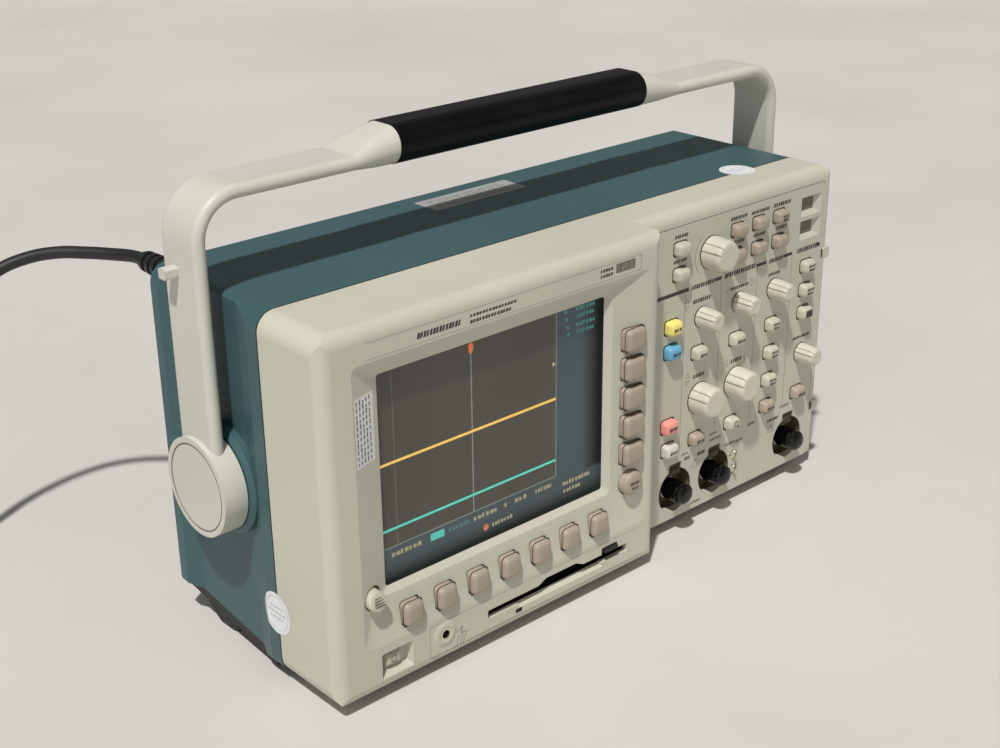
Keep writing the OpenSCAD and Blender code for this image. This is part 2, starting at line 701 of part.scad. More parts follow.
steps = 4;
function spline(a, b, c, d, t) =
    0.5 * (2 * b + (c - a) * t + (2 * a - 5 * b + 4 * c - d) * t * t + (3 * b - a - 3 * c + d) * t * t * t);
function clamp_index(i) = min(max(i, 0), len(ROUTE) - 1);
function route_at(i, t) =
    spline(ROUTE[clamp_index(i - 1)], ROUTE[i], ROUTE[clamp_index(i + 1)], ROUTE[clamp_index(i + 2)], t);
route = concat(
    [for (i = [0:len(ROUTE) - 2], s = [0:steps - 1]) route_at(i, s / steps)],
    [ROUTE[len(ROUTE) - 1]]);
function unit(v) = v / norm(v);
function heading(i) = unit(route[min(i + 1, len(route) - 1)] - route[max(i - 1, 0)]);

sides = 10;
module cord_tube() {
    across = [1, 1, 0];
    rings = [for (i = [0:len(route) - 1])
        let (u = unit(cross(heading(i), across)), v = cross(heading(i), u))
        for (s = [0:sides - 1])
            route[i] + cord_d / 2 * (cos(360 * s / sides) * u + sin(360 * s / sides) * v)];
    last = len(route) - 1;
    walls = [for (i = [0:last - 1], s = [0:sides - 1])
        [i * sides + s, i * sides + (s + 1) % sides,
         (i + 1) * sides + (s + 1) % sides, (i + 1) * sides + s]];
    ends = [[for (s = [0:sides - 1]) sides - 1 - s], [for (s = [0:sides - 1]) last * sides + s]];
    color(black) polyhedron(rings, concat(walls, ends));
}

module cord_coil() color(black) translate([coil_at.x, coil_at.y, -foot_h]) rotate_extrude()
    round_rect(coil_r - coil_half, coil_r + coil_half, 0, coil_h, 3);

// a moulded plug beside the coil, its relief meeting the top layer's outer turn
module mains_plug() color(black) translate([coil_at.x - 46, coil_at.y, -foot_h]) {
    axis_z = 1.5 * cord_d;
    translate([0, 0, axis_z]) rotate([-90, 0, 0]) cylinder(h = 30, r1 = cord_d / 2 + 0.6, r2 = 5.4);
    hull() {
        $fn = hull_fn;
        slab_y(27, 28) centred_rect([0, axis_z], [12, 12], 5);
        slab_y(38, 46) centred_rect([0, axis_z], [30, 2 * axis_z - 1], 6);
    }
    for (x = [-6.35, 6.35]) slab_y(45.9, 62) centred_rect([x, axis_z + 1], [1.6, 6.4], 0.3);
    slab_y(45.9, 64) centred_rect([0, axis_z - 4.5], [4.8, 4.8], 2.2);
}

// ---- what is drawn ----

place() {
    front_casing();
    control_panel();
    rear_case();
    base_tray();
    display_window();
    lcd_module();
    keypad_boards();
    main_board();
    power_supply();
    floppy_drive();
    floppy_eject();
    front_terminals();
    bnc_caps();
    power_inlet();
    rubber_feet();
    screws();
    handle_pivots();
    handle_frame();
    handle_grip();
    hub_caps();
    cord_connector();
    cord_tube();
    cord_coil();
    mains_plug();
    bottom_softkeys();
    side_softkeys();
    key_menu_off();
    key_print();
    key_power();
    for (k = KNOBS) knob(k);
    for (k = KEYS) panel_key(k);
}
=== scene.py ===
"""Looks of the portable bench oscilloscope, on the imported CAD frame.

Sizes are millimetres in the case's own frame: x from the left edge of the case, y to the rear from the
bezel's front plane, z up from the underside."""

from math import cos, pi, radians, sin, sqrt

import bmesh
import bpy
from mathutils import Matrix, Vector


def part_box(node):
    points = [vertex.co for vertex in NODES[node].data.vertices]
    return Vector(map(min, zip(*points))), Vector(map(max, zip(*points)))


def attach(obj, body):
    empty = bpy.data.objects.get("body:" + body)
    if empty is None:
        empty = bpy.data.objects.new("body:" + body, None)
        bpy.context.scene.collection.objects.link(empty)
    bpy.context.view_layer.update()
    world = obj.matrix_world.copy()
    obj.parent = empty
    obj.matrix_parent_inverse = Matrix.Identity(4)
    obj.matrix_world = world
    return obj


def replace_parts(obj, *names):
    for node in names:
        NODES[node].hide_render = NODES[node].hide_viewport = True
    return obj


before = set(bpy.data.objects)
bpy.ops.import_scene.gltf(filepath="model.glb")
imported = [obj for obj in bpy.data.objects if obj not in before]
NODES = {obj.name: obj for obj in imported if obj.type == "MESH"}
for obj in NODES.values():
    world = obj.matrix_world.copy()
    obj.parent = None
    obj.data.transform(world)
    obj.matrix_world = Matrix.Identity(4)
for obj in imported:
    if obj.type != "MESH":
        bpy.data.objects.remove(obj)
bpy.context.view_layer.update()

ROOT = "instrument"
MM = 0.001
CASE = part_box("front_casing")
LEFT, FRONT, BASE = CASE[0][0], CASE[0][1], CASE[0][2]
CASE_W, CASE_H = 356, 174


def at(x, y, z):
    return Vector((LEFT + x * MM, FRONT + y * MM, BASE + z * MM))


def local_box(node):
    """A CAD node's box in the case's own millimetres, as (x0, x1, y0, y1, z0, z1)."""
    low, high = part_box(node)
    x0, y0, z0 = ((low[i] - o) / MM for i, o in enumerate((LEFT, FRONT, BASE)))
    x1, y1, z1 = ((high[i] - o) / MM for i, o in enumerate((LEFT, FRONT, BASE)))
    return x0, x1, y0, y1, z0, z1


# ---- camera ----

CAMERA_AT = (-309.47, -451.63, 391.43)
AZIMUTH, ELEVATION, ROLL = -41.903, 23.129, -0.669
SENSOR, FOCAL_LENGTH = 36, 54.33


def make_camera():
    azimuth, elevation, roll = radians(AZIMUTH), radians(ELEVATION), radians(ROLL)
    back = Vector((sin(azimuth) * cos(elevation), -cos(azimuth) * cos(elevation), sin(elevation)))
    right = Vector((0, 0, 1)).cross(back).normalized()
    up = back.cross(right)
    rolled_right = right * cos(roll) + up * sin(roll)
    rolled_up = up * cos(roll) - right * sin(roll)
    data = bpy.data.cameras.new("camera")
    data.sensor_width = SENSOR
    data.lens = FOCAL_LENGTH
    camera = bpy.data.objects.new("camera", data)
    place = Matrix((rolled_right, rolled_up, back)).transposed().to_4x4()
    place.translation = at(*CAMERA_AT)
    camera.matrix_world = place
    bpy.context.scene.collection.objects.link(camera)
    bpy.context.scene.camera = camera


make_camera()


# ---- materials ----

def linear(r, g, b):
    """A colour given in 0 to 255 display values, as linear light."""
    def channel(v):
        v = v / 255
        return v / 12.92 if v <= 0.04045 else ((v + 0.055) / 1.055) ** 2.4
    return (channel(r), channel(g), channel(b), 1)


class Nodes:
    """A material's node tree with short helpers."""

    def __init__(self, name):
        self.material = bpy.data.materials.new(name)
        self.material.use_nodes = True
        self.tree = self.material.node_tree
        self.shader = self.tree.nodes["Principled BSDF"]
        self.coords = self.tree.nodes.new("ShaderNodeTexCoord").outputs["Object"]

    def link(self, a, b):
        self.tree.links.new(a, b)

    def noise(self, scale, detail=3, stretch=None):
        node = self.tree.nodes.new("ShaderNodeTexNoise")
        node.inputs["Scale"].default_value = scale
        node.inputs["Detail"].default_value = detail
        vector = self.coords
        if stretch:
            mapping = self.tree.nodes.new("ShaderNodeMapping")
            mapping.inputs["Scale"].default_value = stretch
            self.link(self.coords, mapping.inputs["Vector"])
            vector = mapping.outputs["Vector"]
        self.link(vector, node.inputs["Vector"])
        return node.outputs["Fac"]

    def ramp(self, fac, stops):
        node = self.tree.nodes.new("ShaderNodeValToRGB")
        elements = node.color_ramp.elements
        for i, (position, colour) in enumerate(stops):
            element = elements[i] if i < 2 else elements.new(position)
            element.position = position
            element.color = colour
        self.link(fac, node.inputs["Fac"])
        return node.outputs["Color"]

    def map_range(self, value, low, high):
        node = self.tree.nodes.new("ShaderNodeMapRange")
        node.inputs["To Min"].default_value = low
        node.inputs["To Max"].default_value = high
        self.link(value, node.inputs["Value"])
        return node.outputs["Result"]

    def bump(self, height, strength, distance):
        node = self.tree.nodes.new("ShaderNodeBump")
        node.inputs["Strength"].default_value = strength
        node.inputs["Distance"].default_value = distance
        self.link(height, node.inputs["Height"])
        self.link(node.outputs["Normal"], self.shader.inputs["Normal"])

    def wave(self, scale, direction):
        node = self.tree.nodes.new("ShaderNodeTexWave")
        node.bands_direction = direction
        node.inputs["Scale"].default_value = scale
        self.link(self.coords, node.inputs["Vector"])
        return node.outputs["Fac"]


def shade(colour, factor):
    return (colour[0] * factor, colour[1] * factor, colour[2] * factor, 1)


def plastic(name, colour, roughness=0.45, grain=1100, relief=0.05, dirt=0.1, specular=0.4):
    """A moulded plastic: fine spark-eroded grain, slow colour drift and a little grime in the low patches."""
    n = Nodes(name)
    drift = n.ramp(n.noise(9, 4), [(0.3, shade(colour, 1 - dirt)), (0.62, colour)])
    n.link(drift, n.shader.inputs["Base Color"])
    n.link(n.map_range(n.noise(60, 4), roughness - 0.07, roughness + 0.09), n.shader.inputs["Roughness"])
    n.shader.inputs["Specular IOR Level"].default_value = specular
    n.bump(n.noise(grain, 2), relief, 0.0004)
    return n.material


def rubber(name, colour, roughness=0.5):
    n = Nodes(name)
    n.link(n.ramp(n.noise(40, 5), [(0.35, shade(colour, 0.75)), (0.7, shade(colour, 1.3))]),
           n.shader.inputs["Base Color"])
    n.link(n.map_range(n.noise(150, 3), roughness - 0.1, roughness + 0.12), n.shader.inputs["Roughness"])
    n.bump(n.noise(900, 3), 0.12, 0.0003)
    return n.material


def metal(name, colour, roughness=0.3):
    n = Nodes(name)
    n.link(n.ramp(n.noise(30, 4), [(0.3, shade(colour, 0.82)), (0.7, colour)]), n.shader.inputs["Base Color"])
    n.shader.inputs["Metallic"].default_value = 1
    n.link(n.map_range(n.noise(400, 2, (1, 12, 1)), roughness - 0.08, roughness + 0.12),
           n.shader.inputs["Roughness"])
    n.bump(n.noise(700, 2), 0.04, 0.0002)
    return n.material


def ink(name, colour, roughness=0.55):
    """Pad-printed ink, slightly uneven where it has worn."""
    n = Nodes(name)
    worn = n.ramp(n.noise(500, 3), [(0.25, shade(colour, 1.5)), (0.6, colour)])
    n.link(worn, n.shader.inputs["Base Color"])
    n.link(n.map_range(n.noise(300, 2), roughness - 0.1, roughness + 0.1), n.shader.inputs["Roughness"])
    return n.material


def paper(name, colour):
    n = Nodes(name)
    n.link(n.ramp(n.noise(120, 5), [(0.3, shade(colour, 0.9)), (0.7, colour)]), n.shader.inputs["Base Color"])
    n.link(n.map_range(n.noise(200, 2), 0.35, 0.6), n.shader.inputs["Roughness"])
    n.bump(n.noise(260, 3), 0.05, 0.0003)
    return n.material


def glow(name, colour, strength, fleck=0.12):
    """A lit part of the display, with the panel's fine pixel grain."""
    n = Nodes(name)
    tint = n.ramp(n.noise(1400, 1), [(0.3, shade(colour, 1 - fleck)), (0.7, shade(colour, 1 + fleck))])
    n.link(tint, n.shader.inputs["Base Color"])
    n.link(tint, n.shader.inputs["Emission Color"])
    n.shader.inputs["Emission Strength"].default_value = strength
    n.link(n.map_range(n.noise(20, 2), 0.5, 0.65), n.shader.inputs["Roughness"])
    return n.material


def window_glass():
    n = Nodes("window_glass")
    n.shader.inputs["Base Color"].default_value = (0.03, 0.03, 0.03, 1)
    n.link(n.map_range(n.noise(25, 4), 0.06, 0.16), n.shader.inputs["Roughness"])
    n.link(n.map_range(n.noise(14, 5), 0.08, 0.16), n.shader.inputs["Alpha"])
    n.shader.inputs["Specular IOR Level"].default_value = 0.5
    return n.material


def grip_rubber():
    """Black foam rubber with fine ribs round the grip."""
    n = Nodes("grip_rubber")
    n.link(n.ramp(n.noise(60, 5), [(0.3, (0.002, 0.002, 0.002, 1)), (0.75, (0.006, 0.006, 0.006, 1))]),
           n.shader.inputs["Base Color"])
    n.link(n.map_range(n.noise(120, 3), 0.28, 0.42), n.shader.inputs["Roughness"])
    n.shader.inputs["Specular IOR Level"].default_value = 0.13
    n.bump(n.wave(115, "X"), 0.02, 0.0003)
    return n.material


def floor_material():
    n = Nodes("floor")
    n.link(n.ramp(n.noise(3, 5), [(0.3, linear(203, 200, 196)), (0.7, linear(213, 210, 206))]),
           n.shader.inputs["Base Color"])
    n.link(n.map_range(n.noise(8, 3), 0.55, 0.75), n.shader.inputs["Roughness"])
    n.bump(n.noise(90, 4), 0.03, 0.001)
    return n.material


BEIGE = linear(204, 202, 187)
M = {
    "beige": plastic("beige_casing", BEIGE, 0.46),
    "panel": plastic("beige_panel", shade(BEIGE, 0.97), 0.48),
    "handle": plastic("beige_handle", linear(208, 207, 197), 0.4, 700, 0.03),
    "knob": plastic("beige_knob", linear(211, 208, 191), 0.42, 800, 0.03),
    "key": plastic("beige_key", linear(198, 196, 178), 0.42, 800, 0.03),
    "white": plastic("white_key", linear(211, 209, 199), 0.4, 800, 0.03),
    "yellow": plastic("yellow_key", linear(250, 234, 134), 0.4, 800, 0.03),
    "blue": plastic("blue_key", linear(112, 178, 216), 0.4, 800, 0.03),
    "coral": plastic("coral_key", linear(244, 158, 148), 0.4, 800, 0.03),
    "tan": plastic("tan_key", linear(173, 159, 143), 0.44, 800, 0.03),
    "teal": plastic("teal_case", linear(62, 93, 98), 0.4, 900, 0.06),
    "black": plastic("black_plastic", (0.012, 0.012, 0.013, 1), 0.45, 900, 0.06),
    "gloss": plastic("black_gloss", (0.002, 0.002, 0.002, 1), 0.1, 300, 0.003, specular=0.4),
    "board": plastic("solder_resist", linear(30, 84, 56), 0.35, 500, 0.05),
    "foot": rubber("foot_rubber", (0.015, 0.015, 0.016, 1), 0.65),
    "cord": rubber("cord_rubber", (0.014, 0.014, 0.016, 1), 0.42),
    "grip": grip_rubber(),
    "steel": metal("plated_steel", (0.6, 0.6, 0.62, 1)),
    "brass": metal("plated_brass", (0.72, 0.68, 0.58, 1), 0.24),
    "glass": window_glass(),
    "print": ink("dark_print", linear(52, 50, 48)),
    "grey_print": ink("grey_print", linear(104, 100, 92)),
    "faint": ink("faint_print", linear(176, 184, 198)),
    # painted shade: the faces inside the knobs' grooves are coloured darker than the knob
    "groove": plastic("knob_groove", linear(112, 106, 90), 0.5),
    "line": ink("line_print", linear(128, 124, 112)),
    "paper": paper("white_paper", linear(236, 238, 240)),
    "foil": paper("grey_label", linear(168, 172, 172)),
    # painted shade on the floors of the two window pockets
    "pocket_shade": plastic("pocket_floor_shade", linear(118, 112, 94), 0.6),
    # painted shade inside the input wells, on their walls and floors
    "well": plastic("well_lining", linear(100, 94, 72), 0.5),
    # painted shade in the slots above the input wells
    "flag_shade": plastic("flag_slot_shade", linear(62, 57, 40), 0.5),
    "gap": plastic("shadow_gap", linear(34, 33, 28), 0.7),
    # painted shade in the ring gap round the hub caps, lighter than the other gaps
    "rim": plastic("hub_gap_shade", linear(96, 93, 80), 0.6),
    # black: the indicator window's own colour, and painted shade in the slots beside the tabs
    "black_and_slot_shade": plastic("window_black_and_slot_shade", (0.006, 0.006, 0.006, 1), 0.6),
    # painted shade of the moulded outlines and ground symbol on the bezel
    "relief": plastic("moulded_relief_shade", shade(BEIGE, 0.6), 0.5),
}

LOOK = {
    "front_casing": "beige", "control_panel": "panel", "rear_case": "teal", "base_tray": "black",
    "display_window": "glass", "lcd_module": "steel", "keypad_boards": "board", "main_board": "board",
    "power_supply": "steel", "floppy_drive": "black", "floppy_eject": "black", "front_terminals": "brass",
    "bnc_caps": "gloss", "power_inlet": "black", "rubber_feet": "foot", "screws": "steel",
    "handle_pivots": "steel", "handle_frame": "handle", "handle_grip": "grip", "hub_caps": "handle",
    "cord_connector": "cord", "cord_tube": "cord", "cord_coil": "cord", "mains_plug": "cord",
    "bottom_softkeys": "tan", "side_softkeys": "tan", "key_menu_off": "tan", "key_print": "key",
    "key_power": "key", "key_channel_1": "yellow", "key_channel_2": "blue", "key_math": "coral",
    "key_reference": "white", "key_vertical_menu": "tan", "key_trigger_menu": "tan", "key_acquire": "tan",
}


def look_of(node):
    if node in LOOK:
        return M[LOOK[node]]
    if node.startswith("key_menu"):
        return M["tan"]
    return M["knob" if node.startswith("knob") else "key"]


for node_name, node_object in NODES.items():
    node_object.data.materials.clear()
    node_object.data.materials.append(look_of(node_name))


# ---- making pieces ----

def piece(name, mesh, material, body=ROOT, smooth=True):
    mesh.materials.append(material)
    for polygon in mesh.polygons:
        polygon.use_smooth = smooth
    made = bpy.data.objects.new(name, mesh)
    bpy.context.scene.collection.objects.link(made)
    if body:
        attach(made, body)
    return made


def mesh_of(name, points, faces):
    mesh = bpy.data.meshes.new(name)
    mesh.from_pydata([tuple(p) for p in points], [], faces)
    mesh.update()
    return mesh


class Shape:
    """One mesh that grows by bridging rings of points, with a material slot for each run of rings."""

    def __init__(self):
        self.points, self.faces, self.slots = [], [], []

    def rings(self, rings, slot=0, closed_ends=True):
        count = len(rings[0])
        starts = []
        for ring in rings:
            starts.append(len(self.points))
            self.points += ring
        for a, b in zip(starts, starts[1:]):
            for i in range(count):
                j = (i + 1) % count
                self.face((a + i, b + i, b + j, a + j), slot)
        if closed_ends:
            self.face(tuple(starts[0] + i for i in range(count)), slot)
            self.face(tuple(starts[-1] + i for i in reversed(range(count))), slot)

    def face(self, corners, slot):
        self.faces.append(corners)
        self.slots.append(slot)

    def finish(self, name, materials, body=ROOT, crease=40):
        """The shape as a smooth-shaded piece whose edges sharper than crease degrees stay crisp."""
        mesh = mesh_of(name, self.points, self.faces)
        solid = bmesh.new()
        solid.from_mesh(mesh)
        bmesh.ops.recalc_face_normals(solid, faces=solid.faces)
        solid.to_mesh(mesh)
        solid.free()
        made = piece(name, mesh, materials[0], body)
        for extra in materials[1:]:
            mesh.materials.append(extra)
        for polygon, slot in zip(mesh.polygons, self.slots):
            polygon.material_index = slot
        mesh.set_sharp_from_angle(angle=radians(crease))
        return made


def circle_ring(x, y, z, radius, count=48):
    angles = [2 * pi * i / count for i in range(count)]
    return [at(x + radius * cos(angle), y, z + radius * sin(angle)) for angle in angles]


def rounded_ring(x, y, z, width, height, radius, arc=6):
    """Points round a rectangle with rounded corners, facing the front."""
    radius = min(radius, width / 2 - 0.01, height / 2 - 0.01)
    ring = []
    for quarter, (sx, sz) in enumerate(((1, 1), (-1, 1), (-1, -1), (1, -1))):
        for i in range(arc + 1):
            angle = pi / 2 * (quarter + i / arc)
            ring.append(at(x + sx * (width / 2 - radius) + radius * cos(angle), y,
                           z + sz * (height / 2 - radius) + radius * sin(angle)))
    return ring


def quads(name, corners, material, body=ROOT):
    """One flat mesh of many four-cornered patches."""
    points = [p for patch in corners for p in patch]
    faces = [tuple(range(4 * i, 4 * i + 4)) for i in range(len(corners))]
    return piece(name, mesh_of(name, points, faces), material, body, False)


def front_patch(x0, x1, z0, z1, y):
    return [at(x0, y, z0), at(x1, y, z0), at(x1, y, z1), at(x0, y, z1)]


# ---- mains cord ----

CORD_D = 6.4
ROUTE = [
    (32, 190, 153.4), (31, 199, 153.2), (26.5, 210, 152.6), (18, 223, 152.3), (8, 235, 151.8),
    (-4, 245.5, 149), (-17, 252.5, 143.5), (-31, 256, 133.5), (-43, 257, 119), (-52, 257, 100),
    (-58, 256, 78), (-63, 255.5, 55), (-69, 255, 33), (-80, 255, 14), (-96, 255, 2.5),
    (-114, 255.1, -2.1), (-130, 255.2, -2.2),
]
COIL_AT = (-130, 302.8)
COIL_OUT, COIL_IN = 47.6, 26.8
COIL_TURNS = 3.25
POINTS_PER_TURN = 16
CLIMB_STEPS = 5
PLUG_STUB = 6
FOOT = -5.5


def coil_points():
    """Turns that wind inward on the table and back outward on top of them, clockwise from the front."""
    points = []
    steps = int(COIL_TURNS * POINTS_PER_TURN)
    for i in range(1, steps + 1):
        turned = i / POINTS_PER_TURN
        points.append((turned, COIL_OUT - (COIL_OUT - COIL_IN) * i / steps, CORD_D / 2))
    back = steps - POINTS_PER_TURN // 4
    for i in range(1, back + 1):
        turned = (steps + i) / POINTS_PER_TURN
        radius = COIL_IN + CORD_D * i / POINTS_PER_TURN
        lift = min(1, i / CLIMB_STEPS)
        points.append((turned, radius, CORD_D * (0.5 + lift)))
    placed = []
    for turned, radius, height in points:
        angle = -pi / 2 - 2 * pi * turned
        placed.append((COIL_AT[0] + radius * cos(angle), COIL_AT[1] + radius * sin(angle),
                       FOOT + height))
    return placed


def make_cord():
    points = ROUTE + coil_points()
    last = points[-1]
    points = points + [(last[0], last[1] + PLUG_STUB, last[2])]
    curve = bpy.data.curves.new("mains_cord", "CURVE")
    curve.dimensions = "3D"
    curve.bevel_depth = CORD_D / 2 * MM
    curve.bevel_resolution = 5
    curve.resolution_u = 6
    curve.use_fill_caps = True
    spline = curve.splines.new("BEZIER")
    spline.bezier_points.add(len(points) - 1)
    for knot, p in zip(spline.bezier_points, points):
        knot.co = at(*p)
        knot.handle_left_type = knot.handle_right_type = "AUTO"
    curve.materials.append(M["cord"])
    cord = bpy.data.objects.new("mains_cord", curve)
    bpy.context.scene.collection.objects.link(cord)
    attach(cord, ROOT)
    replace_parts(cord, "cord_tube", "cord_coil")


make_cord()


# ---- floor, light ----

FLOOR_HALF = 3.0
LIGHTS_AIM = (0, 0, 0.1)


def make_stage():
    near, far = -FLOOR_HALF, FLOOR_HALF
    floor = quads("floor", [[(near, near, 0), (far, near, 0), (far, far, 0), (near, far, 0)]],
                  floor_material(), None)


def add_light(name, kind, energy, toward, size=None, distance=2.0, colour=(1, 1, 1)):
    data = bpy.data.lights.new(name, kind)
    data.energy = energy
    data.color = colour
    if kind == "AREA":
        data.shape = "DISK"
        data.size = size
    else:
        data.angle = radians(size)
    lamp = bpy.data.objects.new(name, data)
    direction = Vector(toward).normalized()
    lamp.location = Vector(LIGHTS_AIM) + direction * distance
    lamp.rotation_euler = direction.to_track_quat("Z", "Y").to_euler()
    bpy.context.scene.collection.objects.link(lamp)


def make_lights():
    add_light("key_light", "SUN", 3.1, (-0.457, -0.309, 1), 2.5, colour=(1, 0.975, 0.94))
    add_light("front_fill", "AREA", 4.2, (-1.3, -0.6, 0.55), 1.6, 2.4)
    add_light("right_fill", "AREA", 1.5, (1.0, -0.7, 0.7), 1.4, 2.4)
    world = bpy.data.worlds.new("world")
    bpy.context.scene.world = world
    world.use_nodes = True
    background = world.node_tree.nodes["Background"]
    background.inputs["Color"].default_value = (0.93, 0.95, 0.93, 1)
    background.inputs["Strength"].default_value = 0.2
    bpy.context.scene.view_settings.view_transform = "Standard"


make_stage()
make_lights()


# ---- keys and knobs ----

PANEL_Y = 16.9
FACE_Y = PANEL_Y - 5
KNOB_RISE = 12
SMALL, COLOUR = (9.2, 7), (9.5, 7.5)
KEY_CORNER = 1.9
FLANGE = 1.8
PANEL_FLANGE_Y = (3.3, 4.3)
MENU_KEY_PITCH = (17, 13.6)
KEYS = {
    "key_select": (231.8, 154.4, SMALL), "key_coarse": (231.7, 141, SMALL),
    "key_channel_1": (227, 114, COLOUR), "key_channel_2": (227, 100.7, COLOUR),
    "key_math": (226.5, 59.1, COLOUR), "key_reference": (227.4, 45.3, COLOUR),
    "key_off": (248, 94.5, SMALL), "key_vertical_menu": (248.5, 45.3, SMALL),
    "key_delay": (278.1, 93.9, SMALL), "key_zoom": (277.5, 45.4, SMALL),
    "key_set_level": (307.7, 94.4, SMALL), "key_force": (307.7, 78, SMALL),
    "key_trigger_b": (307.5, 61.7, SMALL), "key_trigger_menu": (307.2, 46.1, SMALL),
    "key_run_stop": (335.6, 120.8, SMALL), "key_single": (335.7, 107.2, SMALL),
    "key_autoset": (335.8, 93.9, SMALL), "key_acquire": (334.6, 46.2, SMALL),
}
for i in range(6):
    KEYS[f"key_menu_{i + 1}"] = (275.4 + MENU_KEY_PITCH[0] * (i % 3),
                                 154.6 - MENU_KEY_PITCH[1] * (i // 3), SMALL)
KNOBS = {
    "knob_general": (255.9, 146.9, 8.75), "knob_vertical_position": (250.4, 113.4, 5.6),
    "knob_horizontal_position": (279.8, 114.1, 5.6), "knob_trigger_level": (308.6, 114.3, 5.6),
    "knob_intensity": (336.4, 69.5, 5.6), "knob_vertical_scale": (250.9, 67.9, 8.75),
    "knob_horizontal_scale": (279.9, 68.4, 8.75),
}
SOFTKEY_PITCH, SIDEKEY_PITCH = 19.5, 15
SOFTKEYS = [(42.4 + SOFTKEY_PITCH * i, 33.8) for i in range(7)]
SIDEKEYS = [(182, 124.8 - SIDEKEY_PITCH * i) for i in range(5)]
SOFTKEY_SIZE, SIDEKEY_SIZE = (10.4, 11.4), (13, 11.4)
SOFTKEY_CORNER = 2.4
BEZEL_KEY_Y = -3
BEZEL_FLANGE_Y = (8.6, 9.6)
POWER_AT, POWER_SIZE, POWER_CORNER = (32.25, 13.5), (9.6, 7), 1.4
POWER_FACE_Y = 1.4
POWER_FLANGE_Y = (6.9, 7.9)
MENU_OFF_AT, MENU_OFF_FLANGE_R = (182, 48.5), 7.4
MENU_OFF_PROFILE = ((6.5, 8.6), (6.5, -0.6), (6.3, -1.5), (5.8, -2.2), (4.9, -2.7), (3.6, -2.95), (2, -3))
ROLLED_EDGE = ((0.04, 2.6), (0.22, 1.7), (0.55, 1.0), (1.0, 0.5), (1.6, 0.2), (2.3, 0.06), (2.9, 0))


def pillow(shape, x, z, size, face, back, corner=KEY_CORNER):
    """A key top: straight walls from back, a rolled edge and a slightly crowned face."""
    width, height = size
    profile = [(0, back)] + [(inset, face + depth) for inset, depth in ROLLED_EDGE]
    shape.rings([rounded_ring(x, y, z, width - 2 * inset, height - 2 * inset, max(corner - 0.3 * inset, 0.8))
                 for inset, y in profile])


def flange(shape, x, z, size, depths, corner):
    """The wider plate behind a key that keeps it in its hole."""
    shape.rings([rounded_ring(x, y, z, size[0] + FLANGE, size[1] + FLANGE, corner) for y in depths])


def make_keys():
    for name, (x, z, size) in KEYS.items():
        shape = Shape()
        pillow(shape, x, z, size, FACE_Y, PANEL_Y + PANEL_FLANGE_Y[0])
        flange(shape, x, z, size, [PANEL_Y + y for y in PANEL_FLANGE_Y], KEY_CORNER)
        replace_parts(shape.finish(name + "_top", [look_of(name)], name + "_body"), name)
    for name, places, size in (("bottom_softkeys", SOFTKEYS, SOFTKEY_SIZE),
                               ("side_softkeys", SIDEKEYS, SIDEKEY_SIZE)):
        shape = Shape()
        for x, z in places:
            pillow(shape, x, z, size, BEZEL_KEY_Y, BEZEL_FLANGE_Y[0], SOFTKEY_CORNER)
            flange(shape, x, z, size, BEZEL_FLANGE_Y, SOFTKEY_CORNER)
        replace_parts(shape.finish(name + "_tops", [M["tan"]], name + "_body"), name)
    shape = Shape()
    pillow(shape, *POWER_AT, POWER_SIZE, POWER_FACE_Y, POWER_FLANGE_Y[0], POWER_CORNER)
    flange(shape, *POWER_AT, POWER_SIZE, POWER_FLANGE_Y, POWER_CORNER)
    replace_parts(shape.finish("power_key_top", [M["key"]], "key_power_body"), "key_power")
    shape = Shape()
    x, z = MENU_OFF_AT
    shape.rings([circle_ring(x, y, z, radius) for radius, y in MENU_OFF_PROFILE])
    shape.rings([circle_ring(x, y, z, MENU_OFF_FLANGE_R) for y in BEZEL_FLANGE_Y])
    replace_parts(shape.finish("menu_off_top", [M["tan"]], "key_menu_off_body"), "key_menu_off")


PRINT_AT, PRINT_R = (22.4, 48), 4.7
PRINT_LEAN, PRINT_LOWEST = 0.36, -1.6


def make_print_key():
    """A round key whose face leans back toward its top."""
    (x, z), radius = PRINT_AT, PRINT_R
    shape = Shape()
    rings = [circle_ring(x, BEZEL_FLANGE_Y[0], z, radius), circle_ring(x, 1.2, z, radius)]
    for drop, inset in ((0.55, 0.0), (1.05, 0.16), (1.35, 0.5), (1.5, 1.2)):
        ring = []
        for i in range(48):
            angle = 2 * pi * i / 48
            r = radius - inset
            up = r * sin(angle)
            ring.append(at(x + r * cos(angle), -1 - drop + PRINT_LEAN * max(up, PRINT_LOWEST), z + up))
        rings.append(ring)
    shape.rings(rings)
    shape.rings([circle_ring(x, y, z, radius + FLANGE / 2) for y in BEZEL_FLANGE_Y])
    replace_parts(shape.finish("print_key_top", [M["key"]], "key_print_body"), "key_print")
    rows = []
    for i, width in enumerate((3.6, 4.6, 5.2, 4.8)):
        up = 1.7 - 1.1 * i
        depth = -2.56 + PRINT_LEAN * max(up, PRINT_LOWEST)
        left, right = x - width / 2 + 0.4, x + width / 2 + 0.4
        rows.append(front_patch(left, right, z + up - 0.42, z + up + 0.36, depth))
    quads("print_key_mark", rows, M["grey_print"], "key_print_body")


KNOB_SIDES = 96
GROOVE_DEPTH, GROOVED_ROWS = 0.3, 6
STEM_R, STEM_END = 3, 26.4


